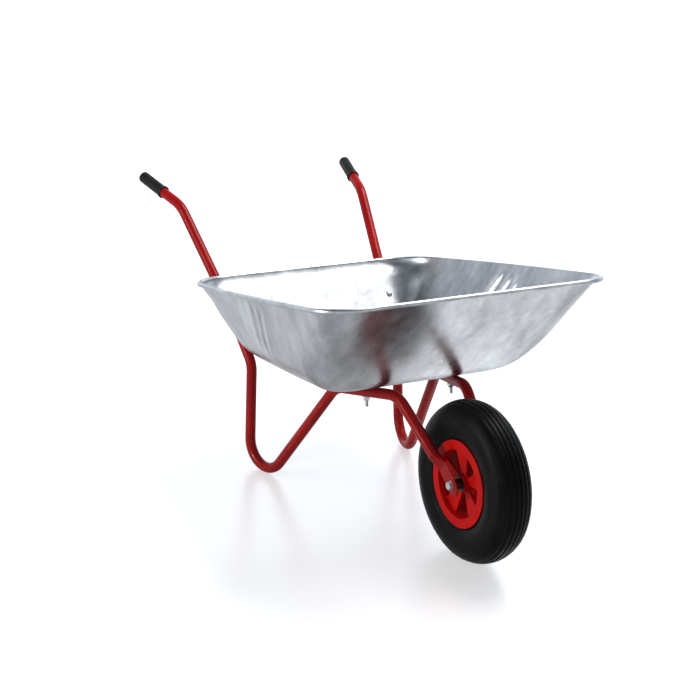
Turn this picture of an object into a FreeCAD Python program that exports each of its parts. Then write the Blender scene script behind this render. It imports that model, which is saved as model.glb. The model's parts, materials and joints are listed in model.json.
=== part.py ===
import FreeCAD
import Part
import math
import os

# A single-wheel garden barrow: a pressed galvanised tray on two bent steel tubes.
# Each tube is the handle, the leg, the rail under the tray and one fork of the wheel.
# Millimetres. +X points forward to the wheel, +Y to the left, +Z up.
# The model is drawn with X = 0 at the axle and moved at the end, so that the
# origin lies on the ground in the middle of the barrow's length and width.

V = FreeCAD.Vector
FORWARD = V(1, 0, 0)
LEFT = V(0, 1, 0)
UP = V(0, 0, 1)
SIDES = {"left": 1, "right": -1}

# Wheel
tyre_radius = 180.0
tyre_width = 98.0
tyre_shoulder_drop = 12.0
tyre_shoulder_half = 34.5
tyre_waist_lift = 3.4
tyre_side_wall = 4.2
tyre_crown_wall = 9.0
groove_spacing = 11.5
groove_width = 2.6
groove_depth = 2.4
groove_count = 5
tyre_lip_gap = 1.0
bead_toe_height = 11.0
bead_toe_flare = 4.0
shoulder_wall_share = 0.9
bead_seat_radius = 84.0
bead_half = 37.5
bead_toe_half = 27.0
flange_radius = 96.7
flange_face_half = 41.6
rim_ring_inner_radius = 76.0
rim_well_radius = 79.0
rim_well_half = 12.0
rim_wall = 5.0
hub_radius = 19.0
hub_half = 34.0
web_edge_half = 30.0
web_root_half = 25.0
web_thickness = 5.0
window_count = 5
window_inner_radius = 21.5
window_outer_radius = 75.0
window_inner_half_angle = 14.0
window_outer_half_angle = 19.0
window_phase = 62.0
valve_window = 2
inner_tube_gap = 1.0
inner_tube_wall = 2.0
inner_tube_lift = 1.2
rim_bore_gap = 1.5
melt = 1.0
fit_gap = 0.1

# Axle
axle_bolt_radius = 5.0
axle_sleeve_radius = 8.0
axle_sleeve_bore_gap = 0.2
bush_outer_radius = 13.0
bush_flange_radius = 17.0
bush_flange = 2.0
bush_length = 20.0
bush_running_gap = 0.06
bush_side_gap = 0.4
spacer_radius = 11.5
axle_hex_flats = 17.0
axle_head_height = 6.4
axle_nut_height = 8.0
axle_thread_end = 4.0
axle_washer_radius = 10.5
axle_washer = 2.0

# Hexagon heads and nuts: the turned corner is a cone over the last part of the height
hex_cone_start = 1.30
hex_cone_end = 0.96
hex_flat_share = 0.8

# Valve
valve_stem_radius = 5.5
valve_thread_radius = 3.9
valve_stem_reach = 60.0
valve_thread_reach = 50.0
valve_cap_radius = 4.9
valve_cap_length = 10.0
valve_cap_wall = 1.5
valve_hole_gap = 0.3
valve_foot_rise = 6.0

# Frame tube
tube_radius = 12.5
tube_wall = 1.5
track_half = 64.5
splay_rearward = 0.2302
splay_upward = 0.0553
grip_run = (-154.0, 38.7)
handle_run = (-215.5, 207.6)
handle_bend_radius = 90.0
wall_bend_down = 78.97
wall_bend_gap = 0.53
wall_bend_radius = 60.0
leg_top_z = 250.0
leg_top_radius = 60.0
foot_radius = 62.0
foot_centre_x = -589.5
leg_lean = 5.67
brace_slope = 56.5
rail_bend_radius = 60.0
rail_front_x = -186.0
rail_gap = 0.15
fork_plate_y = 56.0
fork_plate_thickness = 3.4
fork_plate_width = 36.0
fork_plate_beyond_axle = 25.0
fork_plate_length = 72.0
fork_swage_length = 30.0
tube_seam_angle = 6.0
plate_edge_share = 0.96
plate_bore_share = 0.25

# Grips
grip_radius = 14.6
grip_length = 92.0
grip_end_wall = 4.0
grip_end_round = 3.6
grip_collar_radius = 16.4
grip_collar_length = 5.0
grip_groove_count = 8
grip_groove_radius = 3.2
grip_groove_depth = 1.1

# Tray, in its own tilted frame: z = 0 is the plane of the rim bead's centre line
tray_tilt = 11.9
tray_centre_x = -418.0
tray_centre_z = 510.9
tray_length = 795.0
tray_rear_half = 315.0
tray_front_half = 359.0
rim_rear_corner = 122.0
rim_front_corner = 83.0
rim_side_bulge = 11.0
floor_side_bulge = 1.0
floor_rear_corner = 22.0
floor_front_corner = 34.0
middle_rear_corner = -25.0
middle_front_corner = 20.0
tray_depth = 218.0
tray_sheet = 1.2
rear_wall_angle = 62.0
front_wall_angle = 43.0
side_rear_angle = 62.0
side_front_angle = 78.0
rear_floor_radius = 150.0
front_floor_radius = 100.0
side_floor_radius = 150.0
rim_bead_radius = 5.5
rim_curl_open_angle = 40.0
rim_curl_start_angle = 178.0
side_bow_share = 0.22
tray_levels = 10
wall_above_rim_plane = 1.0

# Tray bolts
bolt_radius = 4.0
bolt_hole_gap = 0.3
bolt_head_radius = 8.5
bolt_head_height = 4.2
bolt_slot_width = 1.6
bolt_slot_depth = 1.6
bolt_hex_flats = 13.0
bolt_nut_height = 6.5
bolt_thread_end = 14.0
saddle_washer_radius = 9.0
saddle_washer = 3.2
saddle_bite = 1.2
floor_bolt_x = 90.0
wall_bolt_past_bend = 9.5
wall_plan_angle = 5.2
wall_gap = 0.4


def polar(radius, degrees):
    angle = math.radians(degrees)
    return radius * math.cos(angle), radius * math.sin(angle)


def cylinder(radius, length, start, direction):
    return Part.makeCylinder(radius, length, start, direction)


def tube_piece(outer, inner, length, start, direction):
    return cylinder(outer, length, start, direction).cut(cylinder(inner, length, start, direction))


def hex_prism(flats, height, start, direction, bore=0.0):
    ring = Part.makePolygon([V(*polar(flats / math.sqrt(3), 60 * i), 0) for i in range(7)])
    prism = Part.Face(ring).extrude(V(0, 0, height))
    cone = Part.makeCone(flats / 2 * hex_cone_start, flats / 2 * hex_cone_end, height)
    prism = prism.common(cone.fuse(Part.makeCylinder(flats, height * hex_flat_share)))
    if bore:
        prism = prism.cut(Part.makeCylinder(bore, height))
    prism.Placement = FreeCAD.Placement(start, FreeCAD.Rotation(UP, direction))
    return prism


def rounded_chain(points, radii, closed):
    """Straight runs joined by tangent arcs; one radius per point, ends ignored if open."""
    count = len(points)
    inner = range(count) if closed else range(1, count - 1)
    corners = {}
    for i in inner:
        back = (points[i - 1] - points[i]).normalize()
        ahead = (points[(i + 1) % count] - points[i]).normalize()
        half = back.getAngle(ahead) / 2
        reach = radii[i] / math.tan(half)
        middle = points[i] + (back + ahead).normalize() * (radii[i] / math.sin(half) - radii[i])
        corners[i] = (points[i] + back * reach, middle, points[i] + ahead * reach)
    edges = []
    for i in range(count if closed else count - 1):
        after = (i + 1) % count
        start = corners[i][2] if i in corners else points[i]
        end = corners[after][0] if after in corners else points[after]
        edges.append(Part.LineSegment(start, end).toShape())
        if after in corners:
            edges.append(Part.Arc(*corners[after]).toShape())
    return Part.Wire(edges)


def pipe(path, section):
    shell = Part.BRepOffsetAPI.MakePipeShell(path)
    shell.setFrenetMode(False)
    shell.add(section)
    shell.build()
    shell.makeSolid()
    return shell.shape()


def circle_wire(radius, centre, direction):
    return Part.Wire(Part.Circle(centre, direction, radius).toShape())


def revolve_about_axle(points_and_arcs):
    """Solid of revolution from a closed outline in (radius, y), set at the axle's height."""
    edges = []
    for piece in points_and_arcs:
        corners = [V(r, y, 0) for r, y in piece]
        edges.append(Part.Arc(*corners).toShape() if len(corners) == 3 else Part.makeLine(*corners))
    solid = Part.makeSolid(Part.Face(Part.Wire(edges)).revolve(V(0, 0, 0), LEFT, 360))
    return at_axle(solid)


def at_axle(shape):
    shape.translate(UP * tyre_radius)
    return shape


def outline(points):
    """Straight pieces between the points of a closed outline."""
    return [(points[i - 1], points[i]) for i in range(len(points))]


# Tray

def tray_frame():
    return FreeCAD.Placement(V(tray_centre_x, 0, tray_centre_z), FreeCAD.Rotation(LEFT, -tray_tilt))


def from_tray(x, y, z):
    return tray_frame().multVec(V(x, y, z))


def wall_inset(height, angle, floor_radius, sheet):
    """How far the wall stands in from the rim at a height over the floor's underside."""
    slope = math.radians(angle)
    bend_top = floor_radius * (1 - math.cos(slope))
    rim_inset = rim_bead_radius - tray_sheet / 2
    floor_edge = rim_inset + (tray_depth - bend_top) / math.tan(slope) + floor_radius * math.sin(slope)
    radius = floor_radius - sheet
    if height >= floor_radius - radius * math.cos(slope):
        return rim_inset + (tray_depth - height) / math.tan(slope) + sheet / math.sin(slope)
    return floor_edge - math.sqrt(max(radius**2 - (floor_radius - height)**2, 0))


def blend(low, high, share, middle=0.0):
    return low + (high - low) * share + middle * 4 * share * (1 - share)


def rim_loop(rear, front, rear_half, front_half, rear_corner, front_corner, bulge, z):
    """Closed outline with round corners and slightly bowed sides, from the rear edge's right end."""
    length = front - rear
    mid_half = (rear_half + front_half) / 2 + 2 * bulge
    middle = (rear + front) / 2
    points = [
        V(rear, -rear_half, z), V(rear, rear_half, z), V(middle, mid_half, z),
        V(front, front_half, z), V(front, -front_half, z), V(middle, -mid_half, z),
    ]
    turn = math.pi - (points[1] - points[2]).getAngle(points[3] - points[2])
    side_radius = side_bow_share * length / math.tan(turn / 2)
    radii = [rear_corner, rear_corner, side_radius, front_corner, front_corner, side_radius]
    return rounded_chain(points, radii, True)


def tray_section(height, sheet):
    share = height / tray_depth
    rear = wall_inset(height, rear_wall_angle, rear_floor_radius, sheet)
    front = wall_inset(height, front_wall_angle, front_floor_radius, sheet)
    side_rear = wall_inset(height, side_rear_angle, side_floor_radius, sheet)
    side_front = wall_inset(height, side_front_angle, side_floor_radius, sheet)
    return rim_loop(
        rear - tray_length / 2,
        tray_length / 2 - front,
        tray_rear_half - side_rear,
        tray_front_half - side_front,
        blend(floor_rear_corner, rim_rear_corner, share, middle_rear_corner) - sheet,
        blend(floor_front_corner, rim_front_corner, share, middle_front_corner) - sheet,
        blend(floor_side_bulge, rim_side_bulge, share),
        height - tray_depth,
    )


def tray_bowl(sheet, above):
    """Solid inside the tray's outer face, or inside its inner face when sheet is its thickness."""
    top = tray_depth + above
    rises = [1 - math.cos(math.pi / 2 * i / tray_levels) for i in range(tray_levels + 1)]
    sections = [tray_section(sheet + (top - sheet) * rise, sheet) for rise in rises]
    return Part.makeLoft(sections, True, False)


def rim_curl():
    """Rolled edge: the sheet goes round in a C whose free edge stops short of the wall."""
    path = rim_loop(
        -tray_length / 2, tray_length / 2, tray_rear_half, tray_front_half,
        rim_rear_corner, rim_front_corner, rim_side_bulge, 0,
    )
    start = path.Edges[0].valueAt(path.Edges[0].FirstParameter)
    inner = rim_bead_radius - tray_sheet
    last = -180.0 + rim_curl_open_angle

    def at(radius, degrees):
        along, rise = polar(radius, degrees)
        return start + V(-along, 0, rise)

    middle = (rim_curl_start_angle + last) / 2
    outside = [at(rim_bead_radius, degrees) for degrees in (rim_curl_start_angle, middle, last)]
    inside = [at(inner, degrees) for degrees in (last, middle, rim_curl_start_angle)]
    section = Part.Wire([
        Part.Arc(*outside).toShape(),
        Part.makeLine(outside[2], inside[0]),
        Part.Arc(*inside).toShape(),
        Part.makeLine(inside[2], outside[0]),
    ])
    return pipe(path, section)


def tray():
    shell = tray_bowl(0.0, wall_above_rim_plane).cut(tray_bowl(tray_sheet, 2 * wall_above_rim_plane))
    shell = shell.fuse(rim_curl())
    shell.Placement = tray_frame()
    for side in SIDES.values():
        for seat, direction in (floor_bolt_seat(side), wall_bolt_seat(side)):
            drill = cylinder(bolt_radius + bolt_hole_gap, 4 * tube_radius, seat, direction)
            shell = shell.cut(drill)
    return shell


# Frame

def in_frame_plane(x, z, side):
    """Point on one side's tube: both tubes lie in planes that spread apart to the rear."""
    return V(x, side * (track_half - splay_rearward * x - splay_upward * z), z)


def rail_height(x):
    """Height of the rail's centre line, which runs along the underside of the tray's floor."""
    slope = math.radians(tray_tilt)
    drop = (tray_depth + rail_gap + tube_radius) / math.cos(slope)
    return tray_centre_z + (x - tray_centre_x) * math.tan(slope) - drop


def frame_plane_direction(degrees, side):
    """Direction in one tube's plane that is seen from the side at an angle over the level."""
    x, z = polar(1.0, degrees)
    return (in_frame_plane(x, z, side) - in_frame_plane(0, 0, side)).normalize()


def meeting_point(place, run, other_place, other_run):
    """Where two straight lines in one plane meet."""
    normal = run.cross(other_run)
    return place + run * ((other_place - place).cross(other_run).dot(normal) / normal.dot(normal))


def handle_corners(side):
    """The handle's end, its bend and its bend at the rear wall, placed from the wall's outer face."""
    slope = math.radians(rear_wall_angle - tray_tilt)
    down = V(math.cos(slope), 0, -math.sin(slope))
    out = V(-math.sin(slope), 0, -math.cos(slope))
    wall_top = from_tray(rim_bead_radius - tray_sheet / 2 - tray_length / 2, 0, 0)
    wall_bend = wall_top + down * wall_bend_down + out * (tube_radius + wall_bend_gap)
    handle_bend = wall_bend + V(handle_run[0], 0, handle_run[1])
    handle_end = handle_bend + V(grip_run[0], 0, grip_run[1])
    return [in_frame_plane(place.x, place.z, side) for place in (handle_end, handle_bend, wall_bend)]


def tube_points(side):
    """Corner points of one tube's centre line, from the handle's end to the axle."""
    level = frame_plane_direction(0, side)
    normal = level.cross(frame_plane_direction(90, side)).normalize()
    steepest = level.cross(normal)
    foot_centre_z = tube_radius + foot_radius * abs(steepest.z)
    foot_centre = in_frame_plane(foot_centre_x, foot_centre_z, side)
    leg_run = frame_plane_direction(90 + leg_lean, side)
    brace_run = frame_plane_direction(brace_slope, side)
    leg_side = foot_centre + towards(normal.cross(leg_run), -FORWARD) * foot_radius
    brace_side = foot_centre + towards(normal.cross(brace_run), FORWARD) * foot_radius
    foot = meeting_point(leg_side, leg_run, brace_side, brace_run)
    rail_front = in_frame_plane(rail_front_x, rail_height(rail_front_x), side)
    rail_run = frame_plane_direction(tray_tilt, side)
    return handle_corners(side) + [
        leg_side + leg_run * ((leg_top_z - leg_side.z) / leg_run.z),
        foot,
        meeting_point(brace_side, brace_run, rail_front, rail_run),
        rail_front,
        swage_start(side),
    ]


def towards(vector, wanted):
    """The vector, turned round if it points away from the wanted way."""
    return vector if vector.dot(wanted) > 0 else -vector


def fork_direction():
    """Direction of the flattened fork end, in the wheel's plane, downward and forward."""
    rail_front_z = rail_height(rail_front_x)
    return V(-rail_front_x, 0, tyre_radius - rail_front_z).normalize()


def plate_point(along, side):
    """Point in the middle of the flattened end, at a distance past the axle."""
    return V(0, side * fork_plate_y, tyre_radius) + fork_direction() * along


def swage_start(side):
    before_axle = fork_plate_length - fork_plate_beyond_axle + fork_swage_length
    point = plate_point(-before_axle, side)
    return in_frame_plane(point.x, point.z, side)


def section_ring(centre, wide, thin, half_width, half_height, corner):
    """Eight-edge closed section; with corner equal to both halves it is a circle."""
    skew = tube_seam_angle if corner == half_width else 0.0
    edges = []
    ends = []
    for quarter in range(4):
        sign_w = (1, -1, -1, 1)[quarter]
        sign_h = (1, 1, -1, -1)[quarter]
        pivot = centre + wide * (sign_w * (half_width - corner)) + thin * (sign_h * (half_height - corner))
        first = 90 * quarter + skew
        last = 90 * quarter + 90 - skew
        places = []
        for degrees in (first, (first + last) / 2, last):
            along, across = polar(corner, degrees)
            places.append(pivot + wide * along + thin * across)
        ends.append(places)
    for quarter, places in enumerate(ends):
        edges.append(Part.Arc(*places).toShape())
        start, end = places[2], ends[(quarter + 1) % 4][0]
        if skew:
            along, across = polar(corner, 90 * quarter + 90)
            edges.append(Part.Arc(start, centre + wide * along + thin * across, end).toShape())
        else:
            edges.append(Part.makeLine(start, end))
    return Part.Wire(edges)


def swage(side, points, half_width, half_height, round_radius):
    """Tube end squashed from a circle to a flat section."""
    run = (points[-1] - points[-2]).normalize()
    thin = (LEFT - run * run.dot(LEFT)).normalize()
    wide = thin.cross(run)
    flat_start = plate_point(fork_plate_beyond_axle - fork_plate_length, side)
    flat_wide = LEFT.cross(fork_direction())
    begin = section_ring(points[-1], wide, thin, round_radius, round_radius, round_radius)
    corner = half_height * plate_edge_share
    finish = section_ring(flat_start, flat_wide, LEFT, half_width, half_height, corner)
    return Part.makeLoft([begin, finish], True, True)


def fork_plate(side):
    half = fork_plate_width / 2
    start = plate_point(fork_plate_beyond_axle - fork_plate_length, side)
    wide = LEFT.cross(fork_direction())
    thick = fork_plate_thickness / 2
    ring = section_ring(start, wide, LEFT, half, thick, thick * plate_edge_share)
    slab = Part.Face(ring).extrude(fork_direction() * fork_plate_length)
    tip = plate_point(fork_plate_beyond_axle - half, side) - LEFT * fork_plate_thickness
    body = Part.makeBox(
        fork_plate_length, 2 * fork_plate_thickness, 4 * half,
        V(-fork_plate_length, 0, -2 * half),
    )
    keep = body.fuse(Part.makeCylinder(half, 2 * fork_plate_thickness, V(0, 0, 0), LEFT))
    keep.Placement = FreeCAD.Placement(tip, FreeCAD.Rotation(FORWARD, fork_direction()))
    return slab.common(keep)


def frame_tube(side):
    points = tube_points(side)
    radii = [
        0, handle_bend_radius, wall_bend_radius, leg_top_radius,
        foot_radius, rail_bend_radius, rail_bend_radius, 0,
    ]
    path = rounded_chain(points, radii, False)
    start = points[0]
    run = points[1] - points[0]
    bore_radius = tube_radius - tube_wall
    outer = pipe(path, circle_wire(tube_radius, start, run))
    bore = pipe(path, circle_wire(bore_radius, start, run))
    half = fork_plate_width / 2
    thick = fork_plate_thickness / 2
    outer = outer.fuse([swage(side, points, half, thick, tube_radius), fork_plate(side)])
    bore = bore.fuse(swage(side, points, half - 2 * tube_wall, thick * plate_bore_share, bore_radius))
    body = outer.cut(bore)
    for seat, direction in (floor_bolt_seat(side), wall_bolt_seat(side)):
        body = body.cut(cylinder(bolt_radius + bolt_hole_gap, 4 * tube_radius, seat, direction))
    axle_hole = cylinder(axle_bolt_radius + bolt_hole_gap, 4 * tube_radius, V(0, 0, 0), LEFT * side)
    axle_hole.translate(V(0, side * (fork_plate_y - 2 * tube_radius), tyre_radius))
    return body.cut(axle_hole)


# Grips

def grip(side):
    points = tube_points(side)
    inward = (points[1] - points[0]).normalize()
    end = points[0] - inward * grip_end_wall
    body = cylinder(grip_radius, grip_length, end, inward)
    rounded = [edge for edge in body.Edges if edge.BoundBox.Center.isEqual(end, 0.5)]
    body = body.makeFillet(grip_end_round, rounded)
    collar_start = end + inward * (grip_length - grip_collar_length)
    body = body.fuse(cylinder(grip_collar_radius, grip_collar_length, collar_start, inward))
    ribbed_length = grip_length - 3 * grip_collar_length
    pitch = ribbed_length / grip_groove_count
    down = towards(inward.cross(LEFT).normalize(), -UP)
    reach = grip_radius + grip_groove_radius - grip_groove_depth
    for i in range(grip_groove_count):
        centre = end + inward * (grip_collar_length + pitch * (i + 0.5)) + down * reach
        start = centre - LEFT * 2 * grip_radius
        body = body.cut(cylinder(grip_groove_radius, 4 * grip_radius, start, LEFT))
    return body.cut(cylinder(tube_radius + fit_gap, grip_length, points[0], inward))


# Bolts through the tray and the tubes

def floor_bolt_seat(side):
    """Start and direction of the drilling up through the rail and the tray's floor."""
    centre = from_tray(floor_bolt_x, 0, -tray_depth - rail_gap - tube_radius)
    seat = in_frame_plane(centre.x, centre.z, side)
    up = from_tray(0, 0, 1) - from_tray(0, 0, 0)
    return seat - up * 2 * tube_radius, up


def wall_bolt_seat(side):
    """Start and direction of the drilling forward through the handle tube and the rear wall."""
    points = tube_points(side)
    run = (points[3] - points[2]).normalize()
    seat = points[2] + run * (wall_bolt_past_bend / run.x)
    along, across = polar(1.0, 90 - wall_plan_angle)
    wall_line = V(along, side * across, 0)
    inward = towards(run.cross(wall_line).normalize(), FORWARD)
    return seat - inward * 2 * tube_radius, inward


def bolt_set(seat, direction, run, head_reach, tray_shape):
    """Mushroom-headed bolt, saddle washer and nut on one axis through a tube and the tray."""
    centre = seat + direction * 2 * tube_radius
    washer_start = centre - direction * (tube_radius - saddle_bite)
    bore = bolt_radius + bolt_hole_gap
    washer = tube_piece(saddle_washer_radius, bore, saddle_washer, washer_start, -direction)
    washer = washer.cut(cylinder(tube_radius, 4 * tube_radius, centre - run * 2 * tube_radius, run))
    nut_start = washer_start - direction * saddle_washer
    nut = hex_prism(bolt_hex_flats, bolt_nut_height, nut_start, -direction, bolt_radius + fit_gap / 2)
    thread_end = nut_start - direction * (bolt_nut_height + bolt_thread_end)
    head_start = centre + direction * head_reach
    shank = cylinder(bolt_radius, (head_start - thread_end).Length, thread_end, direction)
    cap_radius = (bolt_head_radius**2 + bolt_head_height**2) / (2 * bolt_head_height)
    ball = Part.makeSphere(cap_radius, head_start + direction * (bolt_head_height - cap_radius))
    head = ball.common(cylinder(bolt_head_radius + 1, 2 * bolt_head_height, head_start, direction))
    slot = Part.makeBox(
        bolt_slot_width, 4 * bolt_head_radius, bolt_slot_depth,
        V(-bolt_slot_width / 2, -2 * bolt_head_radius, bolt_head_height - bolt_slot_depth),
    )
    slot.Placement = FreeCAD.Placement(head_start, FreeCAD.Rotation(UP, direction))
    bolt = shank.fuse(head.cut(tray_shape)).cut(slot)
    return {"bolt": bolt, "washer": washer, "nut": nut}


# Wheel

def crown_radius_at(y):
    """Outer radius of the tread on the arc through both shoulders and the crown."""
    arc = (tyre_shoulder_half**2 + tyre_shoulder_drop**2) / (2 * tyre_shoulder_drop)
    return tyre_radius - arc + math.sqrt(arc**2 - y**2)


def inner_tube_ring_radius():
    """The tube's centre line runs halfway between the rim and the inside of the tread."""
    lowest = bead_seat_radius + inner_tube_lift
    highest = tyre_radius - tyre_crown_wall - inner_tube_gap
    return (lowest + highest) / 2


def inner_tube_radius():
    """The inflated tube fills the height over the rim or the width between the side walls."""
    over_rim = inner_tube_ring_radius() - bead_seat_radius - inner_tube_lift
    between_walls = tyre_width / 2 - tyre_side_wall - inner_tube_gap
    return min(over_rim, between_walls)


def tyre():
    waist = inner_tube_ring_radius() + tyre_waist_lift
    seat = bead_seat_radius + fit_gap
    heel = bead_half - fit_gap
    lip = flange_radius + tyre_lip_gap
    outer_half = tyre_width / 2
    inner_half = outer_half - tyre_side_wall
    crown = tyre_radius - tyre_crown_wall
    toe_top = seat + bead_toe_height
    toe_half = bead_toe_half + bead_toe_flare
    shoulder = (tyre_radius - tyre_shoulder_drop, tyre_shoulder_half)
    inner_shoulder_radius = shoulder[0] - tyre_crown_wall * shoulder_wall_share
    inner_shoulder = (inner_shoulder_radius, tyre_shoulder_half - tyre_side_wall)

    def low(point):
        return point[0], -point[1]

    pieces = [
        ((seat, -heel), (lip, -heel)),
        ((lip, -heel), (waist, -outer_half), low(shoulder)),
        (low(shoulder), (tyre_radius, 0), shoulder),
        (shoulder, (waist, outer_half), (lip, heel)),
        ((lip, heel), (seat, heel)),
        ((seat, heel), (seat, bead_toe_half)),
        ((seat, bead_toe_half), (toe_top, toe_half)),
        ((toe_top, toe_half), (waist, inner_half), inner_shoulder),
        (inner_shoulder, (crown, 0), low(inner_shoulder)),
        (low(inner_shoulder), (waist, -inner_half), (toe_top, -toe_half)),
        ((toe_top, -toe_half), (seat, -bead_toe_half)),
        ((seat, -bead_toe_half), (seat, -heel)),
    ]
    body = revolve_about_axle(pieces)
    for i in range(groove_count):
        y = (i - (groove_count - 1) / 2) * groove_spacing
        floor = crown_radius_at(y) - groove_depth
        start = V(0, y - groove_width / 2, tyre_radius)
        body = body.cut(tube_piece(tyre_radius + groove_depth, floor, groove_width, start, LEFT))
    return body


def ring_round_axle(section_radius):
    return at_axle(Part.makeTorus(inner_tube_ring_radius(), section_radius, V(0, 0, 0), LEFT))


def inner_tube():
    outer = inner_tube_radius()
    return ring_round_axle(outer).cut(ring_round_axle(outer - inner_tube_wall))


def rim_window(index):
    """Wedge-shaped cutter for one window, right through both faces of the wheel."""
    centre_angle = window_phase + 360.0 / window_count * index
    corners = []
    for radius, half_angle in (
        (window_inner_radius, -window_inner_half_angle),
        (window_outer_radius, -window_outer_half_angle),
        (window_outer_radius, window_outer_half_angle),
        (window_inner_radius, window_inner_half_angle),
    ):
        x, z = polar(radius, centre_angle + half_angle)
        corners.append(V(x, -flange_face_half * 2, z))
    x, z = polar(window_outer_radius, centre_angle)
    bow = V(x, -flange_face_half * 2, z)
    ring = Part.Wire([
        Part.makeLine(corners[0], corners[1]),
        Part.Arc(corners[1], bow, corners[2]).toShape(),
        Part.makeLine(corners[2], corners[3]),
        Part.makeLine(corners[3], corners[0]),
    ])
    return at_axle(Part.Face(ring).extrude(LEFT * flange_face_half * 4))


def wheel_rim():
    seat, well, face = bead_seat_radius, rim_well_radius, flange_face_half
    barrel = revolve_about_axle(outline([
        (flange_radius, -face), (flange_radius, -bead_half), (seat, -bead_half),
        (seat, -2 * rim_well_half), (well, -rim_well_half), (well, rim_well_half),
        (seat, 2 * rim_well_half), (seat, bead_half), (flange_radius, bead_half),
        (flange_radius, face), (rim_ring_inner_radius, face),
        (well - rim_wall, face - 2 * rim_wall), (well - rim_wall, -face + 2 * rim_wall),
        (rim_ring_inner_radius, -face),
    ]))
    hub = at_axle(cylinder(hub_radius, 2 * hub_half, LEFT * -hub_half, LEFT))
    body = barrel.fuse(hub)
    for side in SIDES.values():
        root = web_root_half * side
        edge = web_edge_half * side
        step = web_thickness * side
        web = revolve_about_axle(outline([
            (hub_radius - melt, root), (rim_ring_inner_radius, edge), (rim_ring_inner_radius + melt, edge),
            (rim_ring_inner_radius + melt, edge - step), (hub_radius - melt, root - step),
        ]))
        for index in range(window_count):
            web = web.cut(rim_window(index))
        body = body.fuse(web)
    bore = at_axle(cylinder(axle_sleeve_radius + rim_bore_gap, 2 * hub_half, LEFT * -hub_half, LEFT))
    body = body.cut(bore)
    for side in SIDES.values():
        start = LEFT * side * (hub_half - bush_length)
        body = body.cut(at_axle(cylinder(bush_outer_radius, bush_length, start, LEFT * side)))
    out = valve_direction()
    hole_radius = valve_stem_radius + valve_hole_gap
    valve_hole = cylinder(hole_radius, bead_seat_radius, out * valve_thread_reach, out)
    return body.cut(at_axle(valve_hole))


def valve_direction():
    x, z = polar(1.0, window_phase + 360.0 / window_count * valve_window)
    return V(x, 0, z)


def valve_stem():
    out = valve_direction()
    rubber_length = bead_seat_radius + valve_foot_rise - valve_stem_reach
    thread_length = valve_stem_reach - valve_thread_reach
    rubber = cylinder(valve_stem_radius, rubber_length, out * valve_stem_reach, out)
    metal = cylinder(valve_thread_radius, thread_length, out * valve_thread_reach, out)
    return at_axle(rubber.fuse(metal)).cut(ring_round_axle(inner_tube_radius()))


def valve_cap():
    out = valve_direction()
    open_end = valve_thread_reach + valve_cap_length - valve_cap_wall
    cap = cylinder(valve_cap_radius, valve_cap_length, out * open_end, -out)
    depth = valve_cap_length - valve_cap_wall
    pocket = cylinder(valve_thread_radius + fit_gap, depth, out * open_end, -out)
    return at_axle(cap.cut(pocket))


# Axle

def plate_inner_face():
    return fork_plate_y - fork_plate_thickness / 2


def plate_outer_face():
    return fork_plate_y + fork_plate_thickness / 2


def hub_bush(side):
    out = LEFT * side
    body = cylinder(bush_outer_radius, bush_length, out * (hub_half - bush_length), out)
    body = body.fuse(cylinder(bush_flange_radius, bush_flange, out * hub_half, out))
    bore = cylinder(axle_sleeve_radius + bush_running_gap, 2 * hub_half, LEFT * -hub_half * side, out)
    bore = bore.fuse(cylinder(axle_sleeve_radius + bush_running_gap, hub_half, out * hub_half, out))
    return at_axle(body.cut(bore))


def axle_sleeve():
    half = plate_inner_face()
    bore = axle_bolt_radius + axle_sleeve_bore_gap
    return at_axle(tube_piece(axle_sleeve_radius, bore, 2 * half, LEFT * -half, LEFT))


def axle_spacer(side):
    out = LEFT * side
    start = hub_half + bush_flange + bush_side_gap
    bore = axle_sleeve_radius + fit_gap
    return at_axle(tube_piece(spacer_radius, bore, plate_inner_face() - start, out * start, out))


def axle_washer_ring(side):
    out = LEFT * side
    bore = axle_bolt_radius + axle_sleeve_bore_gap
    return at_axle(tube_piece(axle_washer_radius, bore, axle_washer, out * plate_outer_face(), out))


def axle_nut():
    start = LEFT * (plate_outer_face() + axle_washer)
    return at_axle(hex_prism(axle_hex_flats, axle_nut_height, start, LEFT, axle_bolt_radius + fit_gap / 2))


def axle_bolt():
    seat = plate_outer_face() + axle_washer
    head = hex_prism(axle_hex_flats, axle_head_height, LEFT * -seat, -LEFT)
    length = 2 * seat + axle_nut_height + axle_thread_end
    return at_axle(head.fuse(cylinder(axle_bolt_radius, length, LEFT * -seat, LEFT)))


def build_nodes():
    nodes = {"tray": tray()}
    for name, side in SIDES.items():
        nodes[name + "_frame_tube"] = frame_tube(side)
        nodes[name + "_grip"] = grip(side)
        nodes[name + "_hub_bush"] = hub_bush(side)
        nodes[name + "_axle_spacer"] = axle_spacer(side)
        nodes[name + "_axle_washer"] = axle_washer_ring(side)
        floor_reach = tube_radius + rail_gap + tray_sheet
        wall_reach = tube_radius + wall_gap + tray_sheet
        points = tube_points(side)
        rail_run = (points[6] - points[5]).normalize()
        wall_run = (points[3] - points[2]).normalize()
        floor_set = bolt_set(*floor_bolt_seat(side), rail_run, floor_reach, nodes["tray"])
        wall_set = bolt_set(*wall_bolt_seat(side), wall_run, wall_reach, nodes["tray"])
        for piece in floor_set:
            nodes[f"{name}_floor_{piece}"] = floor_set[piece]
            nodes[f"{name}_wall_{piece}"] = wall_set[piece]
    nodes["tyre"] = tyre()
    nodes["inner_tube"] = inner_tube()
    nodes["wheel_rim"] = wheel_rim()
    nodes["valve_stem"] = valve_stem()
    nodes["valve_cap"] = valve_cap()
    nodes["axle_sleeve"] = axle_sleeve()
    nodes["axle_bolt"] = axle_bolt()
    nodes["axle_nut"] = axle_nut()
    return nodes


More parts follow.
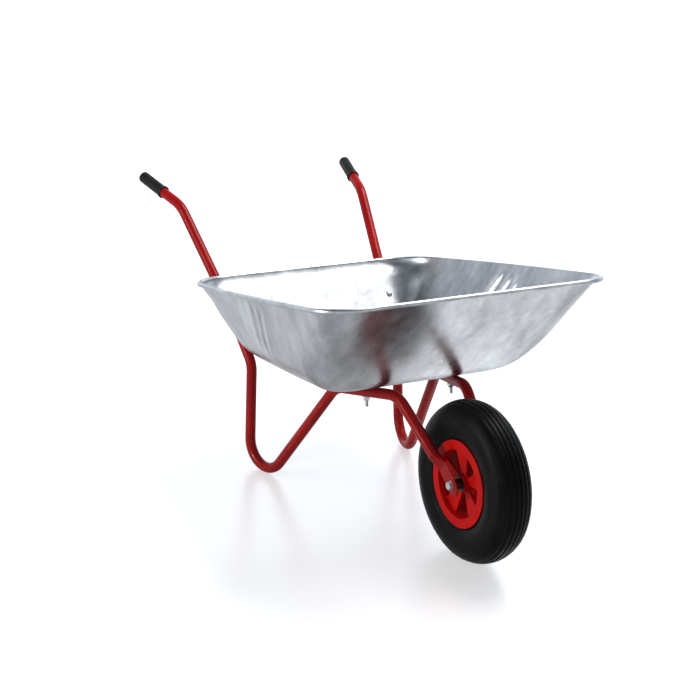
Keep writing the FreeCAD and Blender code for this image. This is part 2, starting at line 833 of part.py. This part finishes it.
def main():
    nodes = build_nodes()
    middle = (nodes["left_grip"].optimalBoundingBox(False, False).XMin + tyre_radius) / 2
    print(f"axle at x = {-middle:.3f}, z = {tyre_radius:.3f}")
    os.makedirs("parts", exist_ok=True)
    for name, shape in nodes.items():
        shape.translate(V(-middle, 0, 0))
        print(f"{name:22s} solids {len(shape.Solids)} valid {shape.isValid()} volume {shape.Volume:.0f}")
        shape.exportStep(f"parts/{name}.step")


main()
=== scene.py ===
import bmesh
import bpy
import json
import math
from mathutils import Matrix, Vector

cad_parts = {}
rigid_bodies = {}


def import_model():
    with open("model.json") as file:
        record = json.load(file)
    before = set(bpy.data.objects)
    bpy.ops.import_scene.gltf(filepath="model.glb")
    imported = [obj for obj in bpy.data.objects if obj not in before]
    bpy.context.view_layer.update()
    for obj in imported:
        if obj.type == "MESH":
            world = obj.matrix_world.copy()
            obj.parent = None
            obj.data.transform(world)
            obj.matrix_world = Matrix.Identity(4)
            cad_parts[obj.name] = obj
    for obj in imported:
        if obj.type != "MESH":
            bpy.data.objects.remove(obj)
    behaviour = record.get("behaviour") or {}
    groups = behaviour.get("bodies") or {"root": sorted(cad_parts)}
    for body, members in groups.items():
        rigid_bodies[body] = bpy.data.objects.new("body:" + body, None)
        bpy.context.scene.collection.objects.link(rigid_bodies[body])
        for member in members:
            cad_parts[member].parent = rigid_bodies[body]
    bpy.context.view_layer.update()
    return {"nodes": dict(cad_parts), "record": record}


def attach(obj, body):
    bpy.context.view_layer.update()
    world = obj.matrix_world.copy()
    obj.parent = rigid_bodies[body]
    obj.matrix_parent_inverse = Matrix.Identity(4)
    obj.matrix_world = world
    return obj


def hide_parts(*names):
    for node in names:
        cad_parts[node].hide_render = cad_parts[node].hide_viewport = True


# A garden barrow: galvanised tray, red tube frame, red plastic rim and black air tyre.
# Metres. +X points forward to the wheel, +Y to the left, +Z up.

for leftover in list(bpy.data.objects):
    bpy.data.objects.remove(leftover)
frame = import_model()
nodes = frame["nodes"]
LEFT = Vector((0, 1, 0))
AXLE = Vector((0.479221, 0, 0.18))
HANDLE_END = Vector((-0.65178, 0.29127, 0.6073))
HANDLE_BEND = Vector((-0.49778, 0.25796, 0.5686))


# Finishes

def finish_named(name):
    finish = bpy.data.materials.new(name)
    finish.use_nodes = True
    return finish, finish.node_tree, finish.node_tree.nodes["Principled BSDF"]


def set_inputs(node, values):
    for name, value in values.items():
        node.inputs[name].default_value = value


def add_node(tree, kind, settings=None, values=None):
    node = tree.nodes.new(kind)
    for name, setting in (settings or {}).items():
        setattr(node, name, setting)
    set_inputs(node, values or {})
    return node


def placed(tree, stretch=(1, 1, 1), turn=(0, 0, 0)):
    """Coordinates on the barrow, in metres, stretched along its axes."""
    where = add_node(tree, "ShaderNodeTexCoord")
    mapping = add_node(tree, "ShaderNodeMapping", None, {"Scale": stretch, "Rotation": turn})
    tree.links.new(where.outputs["Object"], mapping.inputs["Vector"])
    return mapping.outputs["Vector"]


def noise(tree, vector, scale, detail=4.0, roughness=0.55, distortion=0.0):
    values = {
        "Scale": scale, "Detail": detail, "Roughness": roughness, "Distortion": distortion}
    grain = add_node(tree, "ShaderNodeTexNoise", None, values)
    tree.links.new(vector, grain.inputs["Vector"])
    return grain.outputs["Fac"]


def ramp(tree, value, stops):
    """Colours or greys between the stops, each a place and a colour."""
    colours = add_node(tree, "ShaderNodeValToRGB")
    points = colours.color_ramp.elements
    while len(points) < len(stops):
        points.new(1.0)
    for point, (place, colour) in zip(points, stops):
        point.position = place
        point.color = (*colour, 1) if len(colour) == 3 else (colour[0],) * 3 + (1,)
    tree.links.new(value, colours.inputs["Fac"])
    return colours.outputs["Color"]


def spread(tree, value, low, high, from_low=0.0, from_high=1.0):
    limits = {"From Min": from_low, "From Max": from_high, "To Min": low, "To Max": high}
    mapped = add_node(tree, "ShaderNodeMapRange", None, limits)
    tree.links.new(value, mapped.inputs["Value"])
    return mapped.outputs["Result"]


def combine(tree, operation, first, second):
    maths = add_node(tree, "ShaderNodeMath", {"operation": operation})
    for place, term in enumerate((first, second)):
        if isinstance(term, float):
            maths.inputs[place].default_value = term
        else:
            tree.links.new(term, maths.inputs[place])
    return maths.outputs["Value"]


def times(tree, first, second):
    return combine(tree, "MULTIPLY", first, second)


def plus(tree, first, second):
    return combine(tree, "ADD", first, second)


# Places of the colour sockets on a Mix node
MIX_SHARE, MIX_UNDER, MIX_OVER, MIX_RESULT = 0, 6, 7, 2


def tint(tree, mode, share, under, over):
    mix = add_node(tree, "ShaderNodeMix", {"data_type": "RGBA", "blend_type": mode})
    for place, term in ((MIX_SHARE, share), (MIX_UNDER, under), (MIX_OVER, over)):
        if isinstance(term, (float, tuple)):
            mix.inputs[place].default_value = term
        else:
            tree.links.new(term, mix.inputs[place])
    return mix.outputs[MIX_RESULT]


def relief(tree, surface, height, strength, depth):
    bump = add_node(tree, "ShaderNodeBump", None, {"Strength": strength, "Distance": depth})
    tree.links.new(height, bump.inputs["Height"])
    tree.links.new(bump.outputs["Normal"], surface.inputs["Normal"])
    return bump


def mottled(name, dark, light, scale, rough, grain_scale, grain_depth, metal, mirror):
    """A finish whose colour and gloss drift a little, over a fine grain."""
    finish, tree, surface = finish_named(name)
    where = placed(tree)
    patches = noise(tree, where, scale)
    colour = ramp(tree, patches, [(0.3, dark), (0.7, light)])
    tree.links.new(colour, surface.inputs["Base Color"])
    tree.links.new(spread(tree, patches, *rough, 0.25, 0.75), surface.inputs["Roughness"])
    relief(tree, surface, noise(tree, where, grain_scale), 0.6, grain_depth)
    set_inputs(surface, {"Metallic": metal, "Specular IOR Level": mirror})
    return finish


# Pressed flutes of the side walls: where each line runs and how far it rises or sinks
FLUTES = ((-0.128, 1.0), (-0.108, -0.8), (-0.092, 0.7), (-0.074, -0.7), (-0.060, 1.0))
FLUTE_LEAN, FLUTE_WIDTH, FLUTE_DEPTH = 0.35, 0.009, 0.0030
# Heights between which the lines fade in and out, and how far out the side walls begin
FLUTE_FOOT, FLUTE_TOP, FLUTE_SIDE = (0.345, 0.40), (0.475, 0.505), (0.20, 0.23)


def flute_height(tree):
    """Height of the flutes in both side walls: leaning lines that fade out top and bottom."""
    where = add_node(tree, "ShaderNodeTexCoord")
    parts = add_node(tree, "ShaderNodeSeparateXYZ")
    tree.links.new(where.outputs["Object"], parts.inputs["Vector"])
    across, up = parts.outputs["Y"], parts.outputs["Z"]
    along = combine(tree, "SUBTRACT", parts.outputs["X"], times(tree, up, FLUTE_LEAN))
    total = None
    for centre, rise in FLUTES:
        off = times(tree, combine(tree, "SUBTRACT", along, centre), 1 / FLUTE_WIDTH)
        bell = combine(tree, "POWER", math.e, times(tree, times(tree, off, off), -1.0))
        ridge = times(tree, bell, rise)
        total = ridge if total is None else plus(tree, total, ridge)
    low = spread(tree, up, 0.0, 1.0, *FLUTE_FOOT)
    high = spread(tree, up, 1.0, 0.0, *FLUTE_TOP)
    side = spread(tree, combine(tree, "ABSOLUTE", across, 0.0), 0.0, 1.0, *FLUTE_SIDE)
    return times(tree, times(tree, total, side), times(tree, low, high))


def rub_marks(tree, where):
    """Thin wandering lines, in patches only."""
    rubs = noise(tree, placed(tree, (1, 1, 0.45), (0.5, 0.3, 0.2)), 46.0, 3.0, 0.5, 2.2)
    lines = ramp(tree, rubs, [(0.485, (0.0,)), (0.5, (1.0,)), (0.515, (0.0,))])
    patches = ramp(tree, noise(tree, where, 7.0, 2.0), [(0.56, (0.0,)), (0.66, (1.0,))])
    return times(tree, lines, patches)


def spangle(tree, where):
    """Small flakes of zinc, each a little lighter or darker than the next."""
    cells = add_node(
        tree, "ShaderNodeTexVoronoi", {"feature": "F1"}, {"Scale": 95.0, "Randomness": 1.0})
    tree.links.new(where, cells.inputs["Vector"])
    flake = add_node(tree, "ShaderNodeSeparateColor")
    tree.links.new(cells.outputs["Color"], flake.inputs["Color"])
    return ramp(tree, flake.outputs["Red"], [(0.0, (0.86,)), (1.0, (1.0,))])


def galvanised_sheet():
    """Zinc coated sheet drawn in a press: soft spangle, streaks down the walls, rub marks, and
    painted highlight and shade along the pressed flutes.
    """
    finish, tree, surface = finish_named("galvanised_sheet")
    where = placed(tree)
    streaks = noise(tree, placed(tree, (30, 30, 2.0)), 1.4, 3.5, 0.5, 0.3)
    bands = noise(tree, placed(tree, (9, 9, 0.9), (0.0, 0.33, 0.0)), 1.3, 3.0, 0.5, 0.5)
    clouds = noise(tree, where, 4.5, 2.5, 0.5, 0.4)
    flute_relief_and_shade = flute_height(tree)
    tone = plus(tree, times(tree, streaks, 0.35), times(tree, clouds, 0.15))
    tone = plus(tree, tone, times(tree, bands, 0.50))
    # The flute height also lightens the zinc on the rising lines and darkens it on the sinking
    # ones: painted highlight and shade along the flutes.
    tone = plus(tree, tone, times(tree, flute_relief_and_shade, 0.17))
    zinc = ramp(tree, tone, [
        (0.34, (0.31, 0.325, 0.33)), (0.5, (0.46, 0.48, 0.495)), (0.66, (0.62, 0.645, 0.675))])
    zinc = tint(tree, "MULTIPLY", 0.6, zinc, spangle(tree, where))
    marks = rub_marks(tree, where)
    zinc = tint(tree, "MIX", times(tree, marks, 0.35), zinc, (0.30, 0.31, 0.33, 1))
    tree.links.new(zinc, surface.inputs["Base Color"])
    gloss = plus(tree, spread(tree, clouds, 0.27, 0.36, 0.3, 0.7),
                 spread(tree, streaks, -0.02, 0.03, 0.3, 0.7))
    gloss = plus(tree, gloss, times(tree, marks, 0.15))
    tree.links.new(gloss, surface.inputs["Roughness"])
    set_inputs(surface, {"Metallic": 1.0})
    ripple = plus(tree, times(tree, streaks, 0.12), noise(tree, where, 5.0, 0.6))
    waves = relief(tree, surface, ripple, 0.30, 0.0024)
    pressed = add_node(tree, "ShaderNodeBump", None, {"Strength": 1.0, "Distance": FLUTE_DEPTH})
    tree.links.new(flute_relief_and_shade, pressed.inputs["Height"])
    tree.links.new(pressed.outputs["Normal"], waves.inputs["Normal"])
    return finish


def red_paint():
    """Dark red enamel over the tube, glossy, with a little orange peel."""
    finish, tree, surface = finish_named("red_paint")
    where = placed(tree)
    depth = noise(tree, where, 11.0)
    colour = ramp(tree, depth, [(0.3, (0.20, 0.003, 0.003)), (0.7, (0.29, 0.006, 0.005))])
    tree.links.new(colour, surface.inputs["Base Color"])
    gloss = spread(tree, noise(tree, where, 60.0), 0.26, 0.38, 0.3, 0.7)
    tree.links.new(gloss, surface.inputs["Roughness"])
    set_inputs(surface, {"Specular IOR Level": 0.08, "Coat Weight": 0.10, "Coat Roughness": 0.05})
    relief(tree, surface, noise(tree, where, 420.0, 2.0), 0.25, 0.0004)
    return finish


# Each mottled finish: name, dark and light colour; then scale of the patches, roughness from
# and to, scale and depth of the grain, share of metal, and strength of a plain reflection
MOTTLED = (
    ("grip_plastic", (0.006, 0.0065, 0.005), (0.014, 0.015, 0.012),
     60, (0.36, 0.52), 900, 0.0003, 0.0, 0.14),
    ("tyre_rubber", (0.0022, 0.0022, 0.0024), (0.0055, 0.0056, 0.006),
     22, (0.28, 0.42), 700, 0.0003, 0.0, 0.05),
    ("tube_rubber", (0.03, 0.03, 0.03), (0.05, 0.05, 0.05),
     40, (0.5, 0.65), 600, 0.0002, 0.0, 0.5),
    ("rim_plastic", (0.36, 0.0035, 0.0025), (0.46, 0.006, 0.004),
     30, (0.26, 0.40), 800, 0.0002, 0.0, 0.045),
    ("valve_rubber", (0.02, 0.02, 0.02), (0.04, 0.04, 0.04),
     90, (0.45, 0.6), 900, 0.0002, 0.0, 0.5),
    ("cap_plastic", (0.015, 0.015, 0.015), (0.03, 0.03, 0.03),
     120, (0.3, 0.4), 900, 0.0001, 0.0, 0.5),
    ("bush_nylon", (0.045, 0.003, 0.002), (0.085, 0.006, 0.004),
     70, (0.35, 0.5), 800, 0.0001, 0.0, 0.5),
    ("dark_steel", (0.05, 0.05, 0.05), (0.11, 0.105, 0.10),
     120, (0.35, 0.5), 900, 0.0002, 1.0, 0.5),
    ("zinc_steel", (0.42, 0.43, 0.42), (0.74, 0.75, 0.76),
     160, (0.22, 0.40), 900, 0.0002, 1.0, 0.5),
)
FINISHES = {"galvanised_sheet": galvanised_sheet(), "red_paint": red_paint()}
for row in MOTTLED:
    FINISHES[row[0]] = mottled(*row)

slots = {part["node"]: part["material_slot"] for part in frame["record"]["subparts"]}
for name, node in nodes.items():
    node.data.materials.clear()
    node.data.materials.append(FINISHES[slots[name]])


# Pieces modelled again in finer detail than the solids carry

def finish_piece(name, shape, slot, body, *solids, crease=35):
    """Makes the mesh a smooth shaded object that rides on its body and replaces its solids."""
    bmesh.ops.remove_doubles(shape, verts=shape.verts, dist=1e-6)
    bmesh.ops.recalc_face_normals(shape, faces=shape.faces)
    mesh = bpy.data.meshes.new(name)
    shape.to_mesh(mesh)
    shape.free()
    mesh.polygons.foreach_set("use_smooth", [True] * len(mesh.polygons))
    mesh.set_sharp_from_angle(angle=math.radians(crease))
    mesh.materials.append(FINISHES[slot])
    piece = bpy.data.objects.new(name, mesh)
    bpy.context.scene.collection.objects.link(piece)
    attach(piece, body)
    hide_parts(*solids)


def turned(shape, profile, steps, closed=False):
    """Turns a profile of (radius, height) once round the Z axis."""
    points = [shape.verts.new((radius, 0, height)) for radius, height in profile]
    pairs = list(zip(points, points[1:]))
    if closed:
        pairs.append((points[-1], points[0]))
    edges = [shape.edges.new(pair) for pair in pairs]
    bmesh.ops.spin(shape, geom=points + edges, cent=(0, 0, 0), axis=(0, 0, 1),
                   angle=2 * math.pi, steps=steps, use_merge=True)


def in_metres(profile):
    return [(radius / 1000, height / 1000) for radius, height in profile]


def mirrored(place, side):
    """The same place or direction on the left side (1) or the right side (-1)."""
    return Vector((place[0], place[1] * side, place[2]))


def stand_along(shape, start, direction):
    """Moves a shape turned round the Z axis to its start point, with Z along the direction."""
    turn = Vector(direction).to_track_quat("Z", "Y").to_matrix().to_4x4()
    bmesh.ops.transform(shape, matrix=Matrix.Translation(start) @ turn, verts=shape.verts)


def arc_through(first, middle, last, steps):
    """Points on the circle through three points of a profile, from the first to the last."""
    (ax, ay), (bx, by), (cx, cy) = first, middle, last
    d = 2 * (ax * (by - cy) + bx * (cy - ay) + cx * (ay - by))
    a2, b2, c2 = ax * ax + ay * ay, bx * bx + by * by, cx * cx + cy * cy
    ox = (a2 * (by - cy) + b2 * (cy - ay) + c2 * (ay - by)) / d
    oy = (a2 * (cx - bx) + b2 * (ax - cx) + c2 * (bx - ax)) / d
    radius = math.hypot(ax - ox, ay - oy)
    begin = math.atan2(ay - oy, ax - ox)
    sweep = (math.atan2(cy - oy, cx - ox) - begin + math.pi) % (2 * math.pi) - math.pi
    turns = [begin + sweep * i / steps for i in range(steps + 1)]
    return [(ox + radius * math.cos(t), oy + radius * math.sin(t)) for t in turns]


# Tyre, in millimetres from the middle of the wheel

CROWN_RADIUS, SHOULDER, WAIST, LIP = 180.0, (168.0, 34.5), (131.0, 49.0), (97.7, 37.4)
BEAD_RADIUS, BEAD_TOE, INNER_BEAD = 84.1, 27.0, (95.1, 31.0)
INNER_WAIST, INNER_SHOULDER, INNER_CROWN = (131.0, 44.8), (159.9, 30.3), (171.0, 0.0)
TREAD_EDGE = (34.5, 31.5, 28.5)
GROOVES = (-23.0, -11.5, 0.0, 11.5, 23.0)
GROOVE_DEPTH, HALF_PITCH = 2.4, 5.75
# Across one groove: how far from its middle, and what share of the depth
GROOVE_SHAPE = ((-2.1, 0.0), (-1.4, 0.2), (-1.0, 0.9), (-0.6, 1.0),
                (0.6, 1.0), (1.0, 0.9), (1.4, 0.2), (2.1, 0.0))
# Thin lines moulded on the side walls: radius, height and width
SIDE_BEADS = ((103.5, 0.9, 1.3), (108.0, 0.5, 1.0), (158.0, 0.55, 0.9))
# Rubber hairs on the shoulders: degrees, then metres
NIBS_A_SIDE, NIB_STAGGER, NIB_LEAN = 26, 4, 58
NIB_PLACE, NIB_FOOT, NIB_TIP, NIB_LENGTH = (0.1690, 0.0340), 0.0007, 0.0003, 0.0042


def tread_radius(y):
    rise = CROWN_RADIUS - SHOULDER[0]
    arc = (SHOULDER[1]**2 + rise**2) / (2 * rise)
    return CROWN_RADIUS - arc + math.sqrt(arc**2 - y**2)


def side_wall_profile():
    """From the lip at the rim out to the shoulder, with the thin moulded beads."""
    points = []
    for radius, y in arc_through(LIP, WAIST, SHOULDER, 48)[:-1]:
        swell = sum(height * math.exp(-((radius - place) / width)**2)
                    for place, height, width in SIDE_BEADS)
        points.append((radius, y + swell))
    return points


def tread_profile():
    points = [(tread_radius(y), y) for y in TREAD_EDGE]
    for centre in reversed(GROOVES):
        for offset, depth in reversed(GROOVE_SHAPE):
            y = centre + offset
            points.append((tread_radius(y) - depth * GROOVE_DEPTH, y))
        if centre > GROOVES[0]:
            y = centre - HALF_PITCH
            points.append((tread_radius(y), y))
    return points + [(tread_radius(y), -y) for y in reversed(TREAD_EDGE)]


def inside_profile():
    """The tyre's hidden inner face, from one bead's toe round the air space to the other's."""
    half = [(BEAD_RADIUS, BEAD_TOE), INNER_BEAD]
    half += arc_through(INNER_BEAD, INNER_WAIST, INNER_SHOULDER, 8)[1:]
    return [(radius, -y) for radius, y in half] + [INNER_CROWN] + list(reversed(half))


def mould_nibs(shape):
    """Short rubber hairs that the mould's vents leave round both shoulders."""
    along_x = Matrix.Rotation(math.pi / 2, 4, "Y")
    for side in (1, -1):
        out = Matrix.Translation((NIB_PLACE[0], 0, NIB_PLACE[1] * side))
        lean = Matrix.Rotation(math.radians(NIB_LEAN * side), 4, "Y").inverted()
        for i in range(NIBS_A_SIDE):
            angle = i * 360 / NIBS_A_SIDE + NIB_STAGGER * side
            turn = Matrix.Rotation(math.radians(angle), 4, "Z")
            bmesh.ops.create_cone(
                shape, cap_ends=True, segments=6, radius1=NIB_FOOT, radius2=NIB_TIP,
                depth=NIB_LENGTH, matrix=turn @ out @ lean @ along_x)


def tyre():
    side = side_wall_profile()
    outline = side + tread_profile() + [(radius, -y) for radius, y in reversed(side)]
    outline += [(BEAD_RADIUS, -LIP[1])] + inside_profile() + [(BEAD_RADIUS, LIP[1])]
    shape = bmesh.new()
    turned(shape, in_metres(outline), 180, True)
    mould_nibs(shape)
    stand_along(shape, AXLE, LEFT)
    finish_piece("tyre_with_tread", shape, "tyre_rubber", "wheel", "tyre", crease=48)


# Grips, in millimetres from the end of the tube

GRIP_END = ((0, -4), (9, -4), (11.8, -3.6), (13.6, -2.4), (14.4, -0.6), (14.6, 1.5))
GRIP_RINGS = [(14.6, 2.0 + 1.2 * i) for i in range(65)]
GRIP_COLLAR = ((14.6, 80.0), (14.7, 81.4), (15.6, 82.4), (16.3, 83.4), (16.4, 84.4), (16.4, 86.8),
               (15.9, 87.8), (14.6, 88.0), (12.6, 88.0), (12.6, 0.0), (0, 0.0))
# Only skin farther out than this is ribbed, in metres
GRIP_SKIN = 0.0135
RIDGE_PITCH, RIDGE_FIRST, RIDGE_LAST = 9.6, 5.0, 76.0
# The ridges begin where the skin faces down by this share, and rise above and sink below it
RIDGE_FACING, RIDGE_RISE, RIDGE_SINK = 0.25, 0.9, 0.5


def grip(side, name):
    """Ribbed underneath for the fingers and plain on top, with a collar against the hand."""
    start = mirrored(HANDLE_END, side)
    run = (mirrored(HANDLE_BEND, side) - start).normalized()
    shape = bmesh.new()
    turned(shape, in_metres((*GRIP_END, *GRIP_RINGS, *GRIP_COLLAR)), 56)
    stand_along(shape, start, run)
    down = run.cross(LEFT).normalized()
    down = down if down.z < 0 else -down
    for vert in shape.verts:
        along = (vert.co - start).dot(run) * 1000
        out = vert.co - start - run * (along / 1000)
        if RIDGE_FIRST < along < RIDGE_LAST and out.length > GRIP_SKIN:
            facing = out.normalized().dot(down)
            under = max(facing - RIDGE_FACING, 0) / (1 - RIDGE_FACING)
            wave = math.cos(2 * math.pi * (along - RIDGE_FIRST) / RIDGE_PITCH)
            vert.co += out.normalized() * 0.001 * under**0.6 * (RIDGE_RISE * wave - RIDGE_SINK)
    finish_piece(f"{name}_ribbed_grip", shape, "grip_plastic", "frame", f"{name}_grip", crease=50)


# Tray bolts, in millimetres up from the underside of the head

HEAD_RADIUS, HEAD_HEIGHT, DOME_MIDDLE = 8.5, 4.2, (4.6, 3.2)
SLOT_HALF, SLOT_DEPTH = 0.8, 1.6
SHANK_RADIUS, CORE_RADIUS, CHAMFER = 4.0, 3.35, 0.6
THREAD_PITCH, THREAD_LENGTH, THREAD_START, THREAD_ENDS = 1.25, 26.0, 0.9, 1.6
THREAD_FOOT, THREAD_CREST, STEPS_A_TURN = 0.55, 0.08, 20
# On the left side: kind, seat of the head and direction in metres, and length
TRAY_BOLTS = (
    ("floor", (0.193992, 0.112704, 0.317318), (-0.206204, 0, 0.978509), 48.85),
    ("wall", (-0.262107, 0.217297, 0.358935), (0.756873, -0.068881, 0.649922), 49.1),
)


def bolt_body(shape, length):
    dome = arc_through((HEAD_RADIUS, 0.0), DOME_MIDDLE, (0.0, HEAD_HEIGHT), 10)
    thread_top = THREAD_LENGTH - length
    shank = [(0.0, -length), (CORE_RADIUS - CHAMFER, -length), (CORE_RADIUS, CHAMFER - length),
             (CORE_RADIUS, thread_top), (SHANK_RADIUS, thread_top + CHAMFER),
             (SHANK_RADIUS, 0.0), (HEAD_RADIUS - 0.1, 0.0)]
    turned(shape, in_metres(shank + dome), 48)


def cut_slot(shape):
    """Sinks the strip between two planes across the dome to the slot's flat bottom."""
    for x in (-SLOT_HALF, SLOT_HALF):
        geometry = shape.verts[:] + shape.edges[:] + shape.faces[:]
        bmesh.ops.bisect_plane(
            shape, geom=geometry, plane_co=(x / 1000, 0, 0), plane_no=(1, 0, 0), dist=1e-7)
    bottom = (HEAD_HEIGHT - SLOT_DEPTH) / 1000
    strip = []
    for face in shape.faces:
        middle = face.calc_center_median()
        if abs(middle.x) < SLOT_HALF / 1000 and middle.z > bottom:
            strip.append(face)
    raised = bmesh.ops.extrude_face_region(shape, geom=strip)
    bmesh.ops.delete(shape, geom=strip, context="FACES")
    for vert in (v for v in raised["geom"] if isinstance(v, bmesh.types.BMVert)):
        vert.co.z = bottom


def thread_coil(shape, length):
    """One ridge wound up the shank's end."""
    turns = int((THREAD_LENGTH - THREAD_ENDS) / THREAD_PITCH)
    ridge = ((CORE_RADIUS - 0.1, -THREAD_FOOT), (SHANK_RADIUS, -THREAD_CREST),
             (SHANK_RADIUS, THREAD_CREST), (CORE_RADIUS - 0.1, THREAD_FOOT))
    points = [shape.verts.new((radius / 1000, 0, (THREAD_START - length + height) / 1000))
              for radius, height in ridge]
    face = shape.faces.new(points)
    steps = STEPS_A_TURN * turns
    lift = THREAD_PITCH / 1000 * turns / steps
    bmesh.ops.spin(shape, geom=[face], cent=(0, 0, 0), axis=(0, 0, 1), dvec=(0, 0, lift),
                   angle=2 * math.pi * turns, steps=steps)


def tray_bolt(name, solid, seat, direction, length):
    shape = bmesh.new()
    bolt_body(shape, length)
    bmesh.ops.recalc_face_normals(shape, faces=shape.faces)
    cut_slot(shape)
    thread_coil(shape, length)
    stand_along(shape, seat, direction)
    finish_piece(name, shape, "zinc_steel", "frame", solid, crease=30)


tyre()
grip(1, "left")
grip(-1, "right")
for name, side in (("left", 1), ("right", -1)):
    for kind, seat, direction, length in TRAY_BOLTS:
        tray_bolt(f"{name}_{kind}_bolt_threaded", f"{name}_{kind}_bolt",
                  mirrored(seat, side), mirrored(direction, side), length)


# Studio

def studio_floor():
    """A white board that also glows, less so for light that only bounces off it."""
    mesh = bpy.data.meshes.new("studio_floor")
    shape = bmesh.new()
    bmesh.ops.create_grid(shape, x_segments=1, y_segments=1, size=40)
    shape.to_mesh(mesh)
    shape.free()
    floor = bpy.data.objects.new("studio_floor", mesh)
    bpy.context.scene.collection.objects.link(floor)
    finish, tree, surface = finish_named("white_board")
    board = ramp(tree, noise(tree, placed(tree), 0.8), [
        (0.3, (0.52, 0.52, 0.54)), (0.7, (0.56, 0.56, 0.56))])
    tree.links.new(board, surface.inputs["Base Color"])
    set_inputs(surface, {"Metallic": 0.30, "Roughness": 0.28, "Specular IOR Level": 0.5,
                         "Emission Color": (1, 1, 1, 1)})
    fade = add_node(tree, "ShaderNodeTexGradient", {"gradient_type": "SPHERICAL"})
    tree.links.new(placed(tree, (0.22, 0.22, 0.22)), fade.inputs["Vector"])
    glow = spread(tree, fade.outputs["Fac"], 0.93, 0.54, 0.25, 0.85)
    camera_ray = add_node(tree, "ShaderNodeLightPath").outputs["Is Camera Ray"]
    seen = spread(tree, camera_ray, 0.48, 1.0)
    tree.links.new(times(tree, glow, seen), surface.inputs["Emission Strength"])
    mesh.materials.append(finish)


# Each lamp: name, place, aim, width and height, power in watts, lean of its width in degrees
LAMPS = (
    ("key_box", (-0.1, 1.26, 3.3), (-0.1, 0, 0.4), (1.7, 1.7), 125, 0.0),
    ("ceiling_box", (1.55, 1.5, 2.95), (0.0, 0, 0.4), (1.9, 1.9), 21, 0.0),
    ("side_strip", (-0.22, -2.43, 0.94), (0.40, -0.06, 0.26), (1.5, 0.05), 38, -34),
)
# Greys of the studio's walls from the floor up, and the side where white paper hangs
WALL_GREYS = [(0.0, (0.82, 0.87, 0.95)), (0.25, (0.62, 0.66, 0.73)),
              (0.45, (0.45, 0.48, 0.54)), (0.72, (0.12, 0.14, 0.17))]
PAPER_SIDE = (-0.86, 0.51, 0.0)


def softbox(name, place, aim, size, power, lean):
    """A flat lamp that faces its aim."""
    lamp = bpy.data.lights.new(name, "AREA")
    lamp.shape = "RECTANGLE"
    lamp.size, lamp.size_y = size
    lamp.energy = power
    box = bpy.data.objects.new(name, lamp)
    box.location = place
    facing = (Vector(aim) - Vector(place)).to_track_quat("-Z", "Y").to_matrix()
    box.rotation_euler = (facing @ Matrix.Rotation(math.radians(lean), 3, "Z")).to_euler()
    bpy.context.scene.collection.objects.link(box)


def studio_light():
    world = bpy.data.worlds.new("studio_air")
    bpy.context.scene.world = world
    world.use_nodes = True
    sky = world.node_tree
    air = sky.nodes["Background"]
    direction = add_node(sky, "ShaderNodeTexCoord").outputs["Generated"]
    height = add_node(sky, "ShaderNodeSeparateXYZ")
    sky.links.new(direction, height.inputs["Vector"])
    sky.links.new(ramp(sky, height.outputs["Z"], WALL_GREYS), air.inputs["Color"])
    paper = add_node(sky, "ShaderNodeVectorMath", {"operation": "DOT_PRODUCT"})
    sky.links.new(direction, paper.inputs[0])
    paper.inputs[1].default_value = PAPER_SIDE
    strength = spread(sky, paper.outputs["Value"], 0.8, 2.0, 0.2, 0.85)
    sky.links.new(strength, air.inputs["Strength"])
    for lamp in LAMPS:
        softbox(*lamp)


LENS_LENGTH, SENSOR_WIDTH = 88.43, 36.0
CAMERA_PLACE, CAMERA_ANGLES = (3.27629, -1.98859, 1.66225), (149.31, 19.305, 3.242)


def camera():
    lens = bpy.data.cameras.new("camera")
    lens.lens = LENS_LENGTH
    lens.sensor_width = SENSOR_WIDTH
    viewer = bpy.data.objects.new("camera", lens)
    yaw, pitch, roll = (math.radians(angle) for angle in CAMERA_ANGLES)
    level = Matrix.Rotation(yaw - math.pi / 2, 4, "Z")
    turn = level @ Matrix.Rotation(math.pi / 2 - pitch, 4, "X")
    viewer.matrix_world = Matrix.Translation(CAMERA_PLACE) @ turn @ Matrix.Rotation(roll, 4, "Z")
    bpy.context.scene.collection.objects.link(viewer)
    bpy.context.scene.camera = viewer


studio_floor()
studio_light()
camera()
bpy.context.scene.view_settings.view_transform = "Standard"
